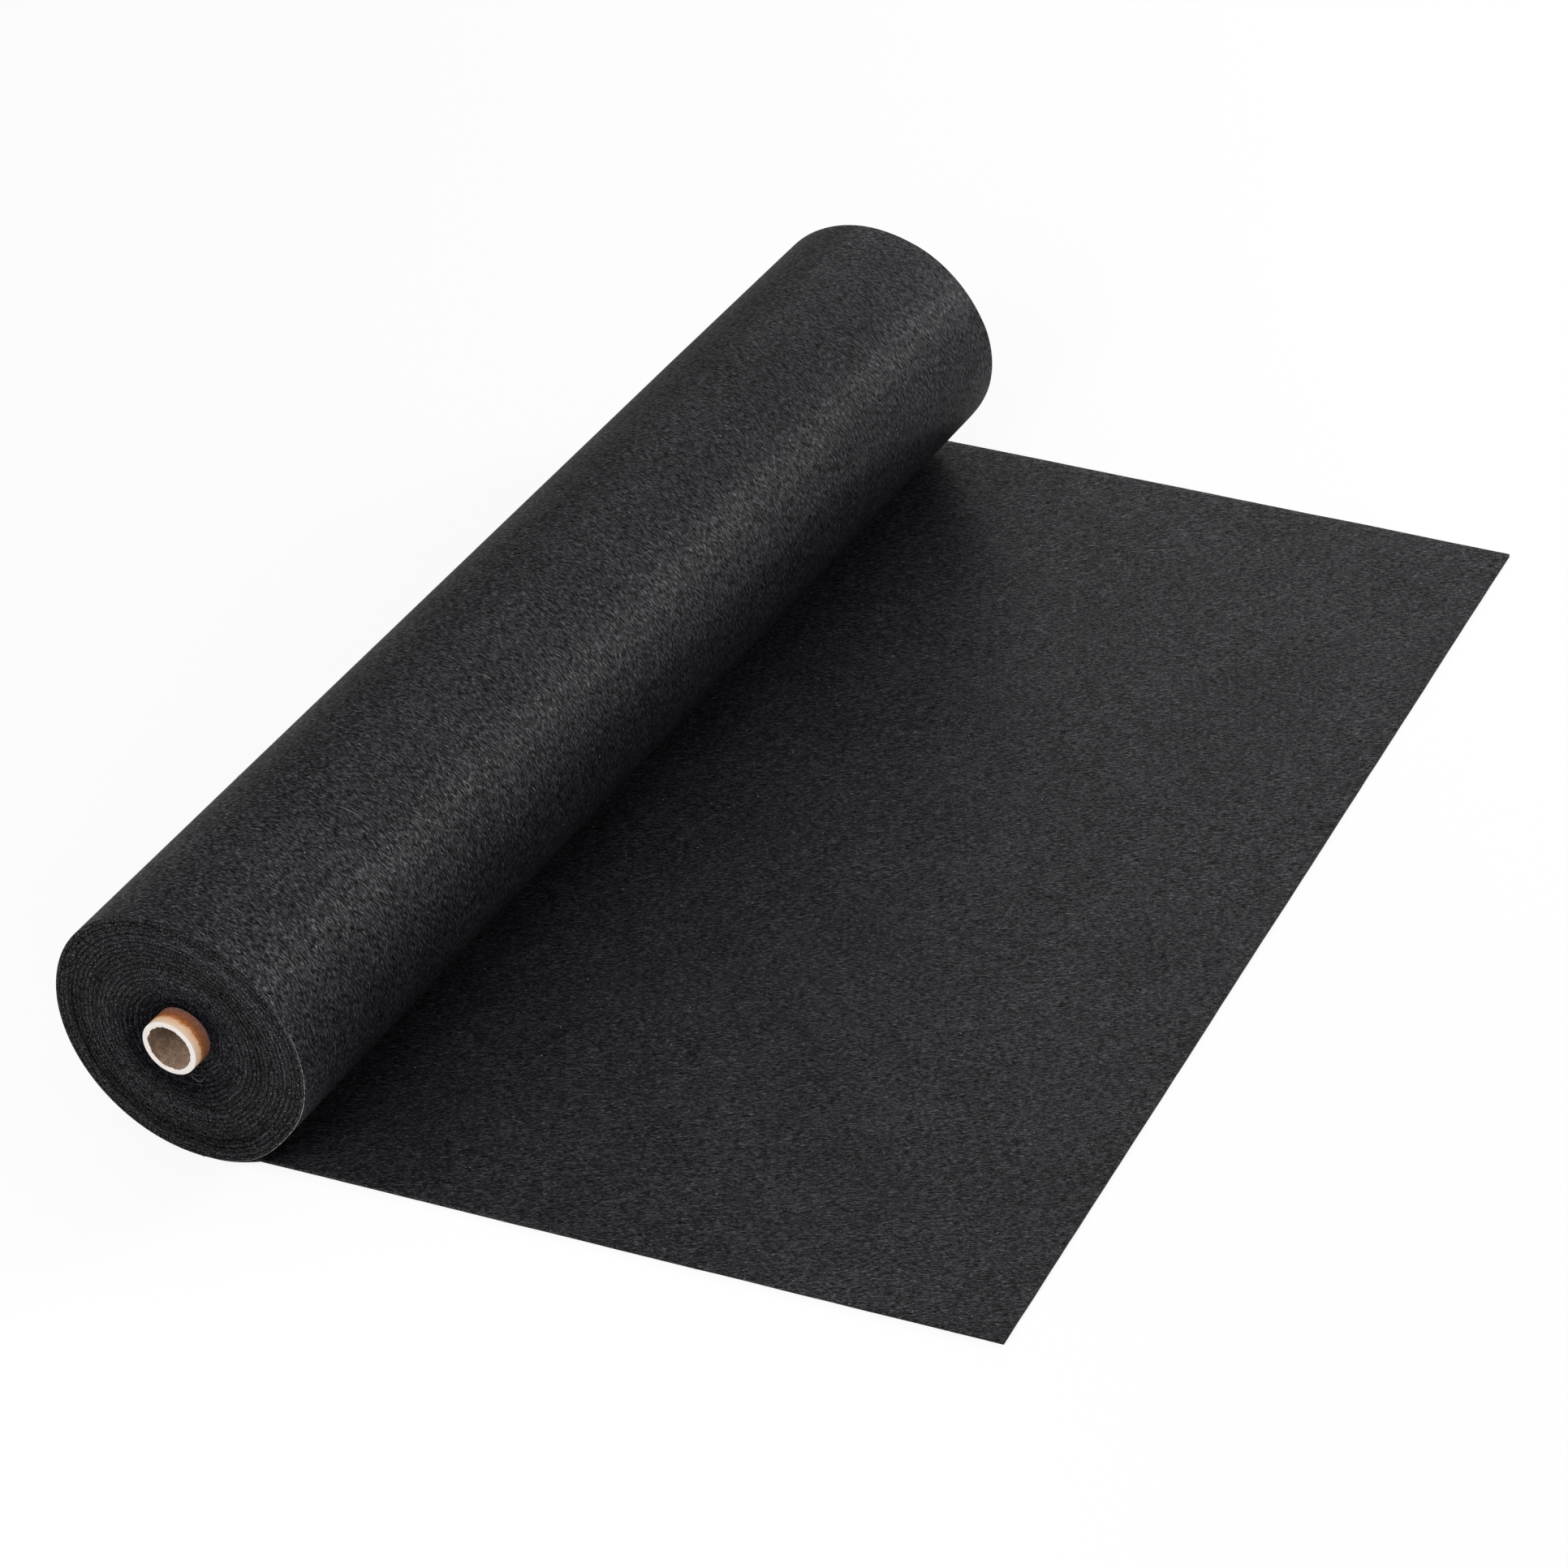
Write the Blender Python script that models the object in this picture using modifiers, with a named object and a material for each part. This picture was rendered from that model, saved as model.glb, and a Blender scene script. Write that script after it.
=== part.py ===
"""A roll of black geotextile felt on a cardboard core, with its free end laid out flat. Metres, +Z up.

The roll's axis runs along Y and its near end is at -Y. The cloth leaves the roll at the floor, towards +X.
"""
import math

import bmesh
import bpy
from mathutils import Vector

# Cloth
cloth_width = 1.0
cloth_thickness = 0.0027
layer_air = 0.00054  # between one layer and the next
turns = 23
points_per_turn = 24
first_climb_points = 6  # the first turn climbs onto the cloth's own starting end in this many points

# Core, and the double-sided tape that holds the cloth's start to it
core_bore_radius = 0.017
core_wall = 0.0042
core_overhang = 0.011  # past the cloth at each end
core_sides = 48
tape_width = 0.025
tape_thickness = 0.0003
tape_sides = 8

# Cloth laid on the floor, measured from the roll's axis and from the wound cloth's two faces
near_reach = 0.603
far_reach = 0.544
near_sidestep = 0.0088  # the cloth leaves the roll this much towards the far end
far_sidestep = 0.0088
near_draw_in = 0.0142
far_draw_in = 0.018
run_off_length = 0.03

touching_gap = 0.0003
merge_distance = 0.00001
soft_share = 1.5  # of a facet's angle: an edge that turns less is shaded soft

layer_spacing = cloth_thickness + layer_air
step_angle = 2 * math.pi / points_per_turn
corner = 1 / math.cos(step_angle / 2)  # puts the middle of each flat on the winding's radius
core_radius = core_bore_radius + core_wall
tape_radius = core_radius + touching_gap + tape_thickness
first_layer_radius = tape_radius + touching_gap
roll_radius = first_layer_radius + cloth_thickness + layer_spacing * turns
nip_reach = roll_radius * math.tan(step_angle / 2)  # the last flat of the winding ends here, on the floor
sharp_angle = step_angle * soft_share

black_felt = (0.016, 0.016, 0.018)
kraft_board = (0.62, 0.43, 0.27)
cream_tape = (0.74, 0.68, 0.52)


def outer_radius(index):
    """Radius of the cloth's outer side at a point of the winding. Each turn is round, then climbs one layer."""
    turn, place = divmod(index, points_per_turn)
    grown_share = min(turn / (turns - 1), 1)
    climb_points = first_climb_points + (points_per_turn - 1 - first_climb_points) * grown_share
    climb = max(0, (place - points_per_turn + climb_points) / climb_points)
    return first_layer_radius + cloth_thickness + layer_spacing * (turn + climb)


def winding_points():
    """The outer side of the cloth, from its start under the core to the flat that lies on the floor."""
    points = []
    for index in range(points_per_turn * turns + 2):
        angle = (index - 0.5) * step_angle
        radius = outer_radius(index) * corner
        points.append(Vector((radius * math.sin(angle), -radius * math.cos(angle), 0)))
    return points


def least_gap(points):
    """Least clear distance between a layer's outer side and the inner side of the layer over it."""
    least = math.inf
    for index in range(len(points) - points_per_turn - 1):
        over = index + points_per_turn
        for start, end in ((over - 1, over), (over, over + 1)):
            along = (points[end] - points[start]).normalized()
            outward = Vector((along.y, -along.x, 0))
            least = min(least, (points[start] - points[index]).dot(outward) - cloth_thickness)
    return least


def material(name, colour, roughness):
    made = bpy.data.materials.new(name)
    made.use_nodes = True
    shader = made.node_tree.nodes["Principled BSDF"]
    shader.inputs["Base Color"].default_value = (*colour, 1)
    shader.inputs["Roughness"].default_value = roughness
    shader.inputs["Metallic"].default_value = 0
    made.diffuse_color = (*colour, 1)
    return made


def add_object(name, mesh, look, parent=None):
    mesh.materials.append(look)
    made = bpy.data.objects.new(name, mesh)
    made.parent = parent
    roll_collection.objects.link(made)
    return made


def mesh_from(name, shape):
    mesh = bpy.data.meshes.new(name)
    shape.to_mesh(mesh)
    shape.free()
    return mesh


def thicken(made, thickness):
    """Thickness on the back of an open surface, measured square to each face."""
    shell = made.modifiers.new("thickness", "SOLIDIFY")
    shell.thickness = thickness
    shell.offset = -1
    shell.use_even_offset = True


def smooth_round(made):
    made.data.shade_smooth()
    made.data.set_sharp_from_angle(angle=sharp_angle)


def wound_cloth(points, look, parent):
    """One unbroken strip: the winding's line, swept along the axis and thickened inwards."""
    shape = bmesh.new()
    line = [shape.verts.new(point - Vector((0, 0, cloth_width / 2))) for point in points]
    edges = [shape.edges.new(pair) for pair in zip(line, line[1:])]
    swept = bmesh.ops.extrude_edge_only(shape, edges=edges)["geom"]
    moved = [item for item in swept if isinstance(item, bmesh.types.BMVert)]
    bmesh.ops.translate(shape, verts=moved, vec=(0, 0, cloth_width))
    shape.normal_update()
    shape.faces.ensure_lookup_table()
    first = shape.faces[0]
    if first.normal.dot(first.calc_center_median() * Vector((1, 1, 0))) < 0:
        bmesh.ops.reverse_faces(shape, faces=shape.faces)
    made = add_object("wound_cloth", mesh_from("wound_cloth", shape), look, parent)
    thicken(made, cloth_thickness)
    smooth_round(made)
    return made


def core_tube(look, parent):
    """A plain paper tube: its wall's section, turned about the roll's axis."""
    half_length = cloth_width / 2 + core_overhang
    section = [
        (core_radius, half_length),
        (core_radius, -half_length),
        (core_bore_radius, -half_length),
        (core_bore_radius, half_length),
    ]
    shape = bmesh.new()
    corners = [shape.verts.new((radius, 0, height)) for radius, height in section]
    for pair in zip(corners, corners[1:] + corners[:1]):
        shape.edges.new(pair)
    made = add_object("core_tube", mesh_from("core_tube", shape), look, parent)
    turn(made, 2 * math.pi, core_sides)
    smooth_round(made)
    return made


def turn(made, angle, sides):
    screw = made.modifiers.new("turn", "SCREW")
    screw.axis = "Z"
    screw.angle = angle
    screw.steps = sides
    screw.render_steps = sides
    screw.use_merge_vertices = True
    screw.merge_threshold = merge_distance


def start_tape(look, parent):
    """A strip along the core, between it and the start of the first turn."""
    shape = bmesh.new()
    ends = [shape.verts.new((tape_radius, 0, side * cloth_width / 2)) for side in (1, -1)]
    shape.edges.new(ends)
    made = add_object("start_tape", mesh_from("start_tape", shape), look, parent)
    made.rotation_euler.z = -math.pi / 2 - step_angle / 2
    turn(made, tape_width / tape_radius, tape_sides)
    thicken(made, tape_thickness)
    smooth_round(made)
    return made


def laid_piece(name, corners, look):
    """A flat stretch of cloth on the floor."""
    shape = bmesh.new()
    underside = shape.faces.new([shape.verts.new((x, y, 0)) for x, y in corners])
    top = bmesh.ops.extrude_face_region(shape, geom=[underside])["geom"]
    moved = [item for item in top if isinstance(item, bmesh.types.BMVert)]
    bmesh.ops.translate(shape, verts=moved, vec=(0, 0, cloth_thickness))
    bmesh.ops.recalc_face_normals(shape, faces=shape.faces)
    return add_object(name, mesh_from(name, shape), look)


def laid_cloth(axis_x, look):
    """The cloth on the floor: the run-off beside the roll, then the sheet up to the cut end."""
    edges = {
        "near": ((nip_reach, -cloth_width / 2 + near_sidestep), (near_reach, -cloth_width / 2 + near_draw_in)),
        "far": ((nip_reach, cloth_width / 2 + far_sidestep), (far_reach, cloth_width / 2 - far_draw_in)),
    }

    def place(edge, reach):
        (start_x, start_y), (end_x, end_y) = edges[edge]
        share = (reach - start_x) / (end_x - start_x)
        return axis_x + reach, start_y + (end_y - start_y) * share

    run_off_end = nip_reach + run_off_length
    stretches = {
        "run_off_web": (nip_reach + touching_gap, run_off_end, run_off_end),
        "laid_sheet": (run_off_end + touching_gap, near_reach, far_reach),
    }
    for name, (start, near_end, far_end) in stretches.items():
        corners = [place("near", start), place("near", near_end), place("far", far_end), place("far", start)]
        laid_piece(name, corners, look)


for old in list(bpy.data.objects):
    bpy.data.objects.remove(old)

roll_collection = bpy.data.collections.new("geotextile_roll")
bpy.context.scene.collection.children.link(roll_collection)

felt = material("black_felt", black_felt, 0.95)
board = material("kraft_board", kraft_board, 0.85)
tape = material("cream_tape", cream_tape, 0.6)

points = winding_points()
left_reach = max(-point.x for point in points)
axis_x = (left_reach - near_reach) / 2  # the origin is under the middle of the roll and its laid cloth together

# The axis empty looks out of the near end: its X is the world's, its Y is up and its Z points at -Y.
roll_axis = bpy.data.objects.new("roll_axis", None)
roll_axis.location = (axis_x, 0, roll_radius)
roll_axis.rotation_euler = (math.pi / 2, 0, 0)
roll_collection.objects.link(roll_axis)

wound_cloth(points, felt, roll_axis)
core_tube(board, roll_axis)
start_tape(tape, roll_axis)
laid_cloth(axis_x, felt)

wound_length = sum((end - start).length for start, end in zip(points, points[1:]))
print(f"roll radius {roll_radius:.6f}, axis at x {axis_x:.6f}, wound length {wound_length:.3f}")
print(f"the winding's least gap to itself {least_gap(points) * 1000:.3f} mm")
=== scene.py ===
import math

import bmesh
import bpy
from mathutils import Matrix, Vector, noise
from mathutils.bvhtree import BVHTree


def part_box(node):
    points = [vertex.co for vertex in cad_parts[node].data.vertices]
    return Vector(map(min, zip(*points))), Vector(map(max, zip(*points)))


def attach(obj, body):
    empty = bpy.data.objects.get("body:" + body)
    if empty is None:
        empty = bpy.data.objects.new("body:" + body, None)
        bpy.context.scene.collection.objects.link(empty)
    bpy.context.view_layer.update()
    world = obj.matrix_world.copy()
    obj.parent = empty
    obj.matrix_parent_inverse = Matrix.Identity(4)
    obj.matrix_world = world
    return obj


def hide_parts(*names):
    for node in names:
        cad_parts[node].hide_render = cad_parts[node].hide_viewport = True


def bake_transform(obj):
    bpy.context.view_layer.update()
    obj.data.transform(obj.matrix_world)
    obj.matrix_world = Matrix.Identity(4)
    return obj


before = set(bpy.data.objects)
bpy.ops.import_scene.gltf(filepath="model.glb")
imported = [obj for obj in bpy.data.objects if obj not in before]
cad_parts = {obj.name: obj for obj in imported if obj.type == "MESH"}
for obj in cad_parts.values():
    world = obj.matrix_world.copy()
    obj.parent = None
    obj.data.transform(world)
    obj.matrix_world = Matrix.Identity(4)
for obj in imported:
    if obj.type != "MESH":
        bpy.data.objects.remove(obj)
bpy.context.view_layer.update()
print("frame loaded")

photoView = {
    "eye": (1.7015, -2.6729, 2.1174),
    "forward": (-0.46326, 0.69753, -0.54667),
    "right": (0.86831, 0.48064, -0.12254),
    "lens": 121.12,
    "sensor": 36,
    "clipEnd": 60,
}


def addObject(name, data):
    made = bpy.data.objects.new(name, data)
    bpy.context.scene.collection.objects.link(made)
    return made


def addCamera(view):
    camera = bpy.data.cameras.new("photoCamera")
    camera.lens = view["lens"]
    camera.sensor_width = view["sensor"]
    camera.sensor_fit = "HORIZONTAL"
    camera.clip_end = view["clipEnd"]
    made = addObject("photoCamera", camera)
    back = -Vector(view["forward"]).normalized()
    right = Vector(view["right"])
    right = (right - back * right.dot(back)).normalized()
    turned = Matrix((right, back.cross(right), back)).transposed().to_4x4()
    made.matrix_world = Matrix.Translation(view["eye"]) @ turned
    bpy.context.scene.camera = made


addCamera(photoView)
print("camera placed")

# sizes of the object, as its solids have them
clothSize = {
    "width": 1.0,
    "thickness": 0.0027,
    "spacing": 0.00324,  # from one layer to the next
    "turns": 23,
    "coreRadius": 0.0212,
    "boreRadius": 0.017,
    "coreOverhang": 0.011,
}
coreLow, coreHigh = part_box("core_tube")
axisX = (coreLow.x + coreHigh.x) / 2
axisZ = (coreLow.z + coreHigh.z) / 2
rollRadius = axisZ
firstRadius = rollRadius - clothSize["spacing"] * clothSize["turns"]  # outer side of the first layer
halfWidth = clothSize["width"] / 2
coreEnd = halfWidth + clothSize["coreOverhang"]


# small helpers for node trees

def addNode(tree, kind, place=(0, 0), **settings):
    node = tree.nodes.new(kind)
    node.location = place
    for name, value in settings.items():
        if name in node.inputs and not hasattr(node, name):
            node.inputs[name].default_value = value
        else:
            setattr(node, name, value)
    return node


def wire(tree, source, target):
    tree.links.new(source, target)


def put(tree, value, socket):  # value is a number, a vector, a colour or a socket
    if isinstance(value, (int, float)):
        socket.default_value = value
    elif isinstance(value, tuple):
        socket.default_value = (*value, 1) if socket.type == "RGBA" else value
    else:
        wire(tree, value, socket)


def feed(tree, node, **values):
    for name, value in values.items():
        put(tree, value, node.inputs[name])


def maths(tree, operation, first, second=None, third=None, clamp=False):
    node = addNode(tree, "ShaderNodeMath", operation=operation, use_clamp=clamp)
    for socket, value in zip(node.inputs, (first, second, third)):
        if value is not None:
            put(tree, value, socket)
    return node.outputs[0]


def plus(tree, first, second):
    return maths(tree, "ADD", first, second)


def minus(tree, first, second):
    return maths(tree, "SUBTRACT", first, second)


def times(tree, first, second, clamp=False):
    return maths(tree, "MULTIPLY", first, second, clamp=clamp)


def timesPlus(tree, first, second, third, clamp=False):
    return maths(tree, "MULTIPLY_ADD", first, second, third, clamp)


def vectorMaths(tree, operation, first, second=None):
    node = addNode(tree, "ShaderNodeVectorMath", operation=operation)
    put(tree, first, node.inputs[0])
    if second is not None:
        put(tree, second, node.inputs["Scale" if operation == "SCALE" else 1])
    return node.outputs[0]


def partsOf(tree, vector):  # its X, Y and Z
    node = addNode(tree, "ShaderNodeSeparateXYZ")
    wire(tree, vector, node.inputs[0])
    return node.outputs


def joined(tree, **parts):  # a vector from its parts, 0 for those that aren't given
    node = addNode(tree, "ShaderNodeCombineXYZ")
    for axis, value in parts.items():
        wire(tree, value, node.inputs[axis])
    return node.outputs[0]


def stored(tree, name, output="Fac"):  # what the mesh holds under that name
    return addNode(tree, "ShaderNodeAttribute", attribute_name=name).outputs[output]


def emptyTree(owner):  # of a material or a world
    owner.use_nodes = True
    owner.node_tree.nodes.clear()
    return owner.node_tree


def lookTree(name):
    made = bpy.data.materials.new(name)
    tree = emptyTree(made)
    output = addNode(tree, "ShaderNodeOutputMaterial", (900, 0))
    shader = addNode(tree, "ShaderNodeBsdfPrincipled", (600, 0))
    wire(tree, shader.outputs["BSDF"], output.inputs["Surface"])
    return made, tree, shader


def objectPlace(tree):
    return addNode(tree, "ShaderNodeTexCoord").outputs["Object"]


# coordinates in features of that size in metres, turned by lean degrees
def placed(tree, source, size, lean=0):
    mapping = addNode(tree, "ShaderNodeMapping", vector_type="TEXTURE")
    scale = size if isinstance(size, tuple) else (size,) * 3
    feed(tree, mapping, Vector=source, Scale=scale, Rotation=(0, 0, math.radians(lean)))
    return mapping.outputs["Vector"]


def grain(tree, source, size, lean=0, detail=2.0, rough=0.5, twist=0.0):
    texture = addNode(tree, "ShaderNodeTexNoise", Scale=1.0, Detail=detail, Roughness=rough, Distortion=twist)
    wire(tree, placed(tree, source, size, lean), texture.inputs["Vector"])
    return texture.outputs["Fac"]


def specks(tree, source, spacing, radius, dimensions):  # 1 in scattered round specks, 0 elsewhere
    cells = addNode(tree, "ShaderNodeTexVoronoi", voronoi_dimensions=dimensions, Scale=1.0)
    wire(tree, placed(tree, source, spacing), cells.inputs["Vector"])
    return maths(tree, "LESS_THAN", cells.outputs["Distance"], radius / spacing)


def ramp(tree, source, stops):
    node = addNode(tree, "ShaderNodeValToRGB")
    elements = node.color_ramp.elements
    while len(elements) < len(stops):
        elements.new(0.5)
    for element, (place, colour) in zip(elements, stops):
        element.position = place
        element.color = (*colour, 1)
    wire(tree, source, node.inputs["Fac"])
    return node.outputs["Color"]


def twoTone(tree, source, places, first, second):
    return ramp(tree, source, tuple(zip(places, (first, second))))


def blended(tree, factor, first, second, way="MIX"):  # first where factor is 0, second where it is 1
    node = addNode(tree, "ShaderNodeMix", data_type="RGBA", blend_type=way)
    for socket, value in zip([s for s in node.inputs if s.type == "RGBA"], (first, second)):
        put(tree, value, socket)
    wire(tree, factor, node.inputs[0])
    return [s for s in node.outputs if s.type == "RGBA"][0]


def stepUp(tree, value, low, high):  # 0 below low, 1 above high, smooth between
    node = addNode(tree, "ShaderNodeMapRange", interpolation_type="SMOOTHSTEP")
    feed(tree, node, **{"Value": value, "From Min": low, "From Max": high})
    return node.outputs["Result"]


def roughen(tree, shader, height, depth, strength):
    bump = addNode(tree, "ShaderNodeBump")
    feed(tree, bump, Height=height, Distance=depth, Strength=strength)
    wire(tree, bump.outputs["Normal"], shader.inputs["Normal"])


feltLook = {
    "middle": (0.0099, 0.00957, 0.01165),
    "fibre": (0.0048, 0.00075, 0.00075),  # length, width and depth of one streak
    "crossFibre": (0.0038, 0.0007, 0.0007),
    "fibreMean": 0.56,  # of the stronger of the two streaks
    "mottle": 0.0011,
    "patchy": 0.009,
    "cloud": 0.075,
    "broad": 0.5,  # how much the patches and the clouds count
    "farCalm": 0.24,  # the grain is this much fainter at the far end of the roll
    "paintedRollShade": 0.92,  # painted shade: the roll's felt is made a little darker than the laid cloth's
    "speckSpacing": 0.062,  # single pale specks on the cloth
    "speckRadius": 0.00036,
    "speck": (0.38, 0.38, 0.38),
    "faceReach": 0.0003,  # the cut faces of the roll begin this far in
    "faceShade": 0.43,  # how dark they are made: the cut fibres' own darkness and painted shade
    "faceCalm": 0.6,  # how much fainter the streaks are there
    "fine": 0.0007,  # and the grain that they have instead
    "fineShare": 1.1,
    "paintedGrooveShade": 0.45,  # painted shade: how much darker they are made between two layers
    "grooveEdge": 3.0,  # how sharply
    "fleckSpacing": 0.007,  # pale flecks of dust on them
    "fleckRadius": 0.00030,
    # colour of the painted highlight along the outermost layer's cut edge
    "rim": (0.50, 0.50, 0.505),
    "rimBreaks": (3.0, -0.9),  # the painted rim highlight shows where the mottle is strong
    "wellShade": 0.25,  # painted shade: how dark the felt is made down beside the core
    # the blue tint of that painted shade
    "wellShadeTint": (0.75, 0.90, 1.35),
    "relief": (0.0006, 0.8),  # depth and strength
    "roughness": 0.55,
    "fibreShine": 0.5,  # the raised fibres shine more
    "gloss": 0.21,
    "combed": 0.8,  # how far the shine spreads across the fibres
}


# place names the cloth's own coordinates, or nothing for the object's; leans are the streaks' directions
# in degrees, streaks is their share of the grain, and contrast counts as a power of e
def feltMaterial(name, look, place, leans, streaks, contrast):
    made, tree, shader = lookTree(name)
    source = stored(tree, place, "Vector") if place else objectPlace(tree)
    along = grain(tree, source, look["fibre"], leans[0])
    across = grain(tree, source, look["crossFibre"], leans[1])
    mottle = grain(tree, source, look["mottle"], rough=0.55)
    streak = minus(tree, maths(tree, "MAXIMUM", along, across), look["fibreMean"])
    fluff = plus(tree, times(tree, streak, streaks), times(tree, minus(tree, mottle, 0.5), 1 - streaks))
    if place:
        parts = partsOf(tree, source)
        faceStart = halfWidth - look["faceReach"]
        onFace = maths(tree, "GREATER_THAN", maths(tree, "ABSOLUTE", parts["Y"]), faceStart)
        fine = times(tree, minus(tree, grain(tree, source, look["fine"], rough=0.6), 0.5), onFace)
        fluff = times(tree, fluff, timesPlus(tree, onFace, -look["faceCalm"], 1))
        fluff = plus(tree, fluff, times(tree, fine, look["fineShare"]))
        fluff = times(tree, fluff, timesPlus(tree, parts["Y"], look["farCalm"], 1 - look["farCalm"] / 2))
    shade = times(tree, fluff, contrast)
    for key in ("cloud", "patchy"):
        wide = grain(tree, source, look[key])
        shade = plus(tree, shade, timesPlus(tree, wide, look["broad"], -look["broad"] / 2))
    if place:  # painted light and shade: the near cut face is made lighter on one side of the roll and darker on the other, on top of each layer's own tone
        shade = plus(tree, shade, stored(tree, "paintedLightAndTone"))
    brightness = maths(tree, "POWER", math.e, shade)
    # painted shade: the roll is made darker all over, its cut faces darker with painted shade between the
    # layers, and the felt beside the core darker
    if place:
        fromMiddle = maths(tree, "ABSOLUTE", maths(tree, "DIVIDE", parts["Z"], clothSize["spacing"] / 2))
        paintedGroove = times(tree, maths(tree, "POWER", fromMiddle, look["grooveEdge"]), look["paintedGrooveShade"])
        layered = times(tree, minus(tree, 1, paintedGroove), look["faceShade"])
        well = stored(tree, "well")
        brightness = times(tree, brightness, look["paintedRollShade"])
        brightness = times(tree, brightness, timesPlus(tree, onFace, minus(tree, layered, 1), 1))
        brightness = times(tree, brightness, timesPlus(tree, well, look["wellShade"] - 1, 1))
    colour = vectorMaths(tree, "SCALE", look["middle"], brightness)
    inSpeck = specks(tree, source, look["speckSpacing"], look["speckRadius"], "2D")
    if place:
        inFleck = specks(tree, source, look["fleckSpacing"], look["fleckRadius"], "3D")
        inSpeck = timesPlus(tree, inFleck, onFace, times(tree, inSpeck, minus(tree, 1, onFace)))
    colour = blended(tree, inSpeck, colour, look["speck"])
    if place:
        # the painted shadow beside the core is tinted blue
        colour = blended(tree, well, colour, look["wellShadeTint"], "MULTIPLY")
        # painted highlight along the outermost layer's edge, broken up by the mottle
        paintedHighlight = times(tree, stored(tree, "paintedRimHighlight"), timesPlus(tree, mottle, *look["rimBreaks"], clamp=True))
        colour = blended(tree, paintedHighlight, colour, look["rim"])
    shader.inputs["Specular IOR Level"].default_value = look["gloss"]  # for a model that drops the link
    dull = timesPlus(tree, fluff, -look["fibreShine"], look["roughness"], clamp=True)
    linked = {"Base Color": colour, "Specular IOR Level": times(tree, brightness, look["gloss"], clamp=True)}
    feed(tree, shader, Roughness=dull, Anisotropic=look["combed"], **linked)
    # most fibres run along the cloth, so its shine spreads across it
    spread = addNode(tree, "ShaderNodeVectorTransform", vector_type="VECTOR")
    spread.convert_from, spread.convert_to = "OBJECT", "WORLD"
    spread.inputs[0].default_value = (0, 1, 0)
    wire(tree, spread.outputs[0], shader.inputs["Tangent"])
    roughen(tree, shader, fluff, *look["relief"])
    return made


# a tree is built with named inputs, run on an object and kept as a plain mesh

def newTree(name, inputs):
    tree = bpy.data.node_groups.new(name, "GeometryNodeTree")
    tree.interface.new_socket(name="Geometry", in_out="INPUT", socket_type="NodeSocketGeometry")
    for label, kind in inputs.items():
        tree.interface.new_socket(name=label, in_out="INPUT", socket_type="NodeSocket" + kind)
    tree.interface.new_socket(name="Geometry", in_out="OUTPUT", socket_type="NodeSocketGeometry")
    return tree, addNode(tree, "NodeGroupInput", (-900, 0)).outputs


# a node that takes geometry on; links go to its inputs by name
def passOn(tree, kind, geometry, links=None, **settings):
    node = addNode(tree, kind, **settings)
    wire(tree, geometry, node.inputs[0])
    for name, source in (links or {}).items():
        wire(tree, source, node.inputs[name])
    return node.outputs[0]


def endTree(tree, geometry, material):
    real = passOn(tree, "GeometryNodeRealizeInstances", geometry)
    dressed = passOn(tree, "GeometryNodeSetMaterial", real, {"Material": material})
    wire(tree, dressed, addNode(tree, "NodeGroupOutput", (1800, 0)).inputs["Geometry"])


def plainMesh(made, keepLayers=False):  # the object's shape with its modifiers
    graph = bpy.context.evaluated_depsgraph_get()
    seen = made.evaluated_get(graph)
    return bpy.data.meshes.new_from_object(seen, preserve_all_data_layers=keepLayers, depsgraph=graph)


def growMesh(name, tree, values, base=None):
    made = bpy.data.objects.new(name, base or bpy.data.meshes.new(name))
    modifier = made.modifiers.new("grow", "NODES")
    modifier.node_group = tree
    for item in tree.interface.items_tree:
        if item.item_type == "SOCKET" and item.in_out == "INPUT" and item.name in values:
            modifier[item.identifier] = values[item.name]
    bpy.context.scene.collection.objects.link(made)
    mesh = plainMesh(made, keepLayers=True)
    mesh.name = name
    made.modifiers.clear()
    made.data = mesh
    return made


def meshFrom(name, shape):
    mesh = bpy.data.meshes.new(name)
    shape.to_mesh(mesh)
    shape.free()
    return mesh


def outward(mesh):
    shape = bmesh.new()
    shape.from_mesh(mesh)
    bmesh.ops.recalc_face_normals(shape, faces=shape.faces)
    shape.to_mesh(mesh)
    shape.free()


def clipped(value):
    return max(0.0, min(1.0, value))


def facing(degrees):  # 1 straight towards that side, 0 away from it
    return max(0.0, math.cos(math.radians(degrees)))


def noiseAt(*place):
    return noise.noise(Vector(place))


def between(table, value):  # straight-line steps between the table's points
    for (low, first), (high, second) in zip(table, table[1:]):
        if value < high:
            return first + (second - first) * max(0.0, value - low) / (high - low)
    return table[-1][1]


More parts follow.
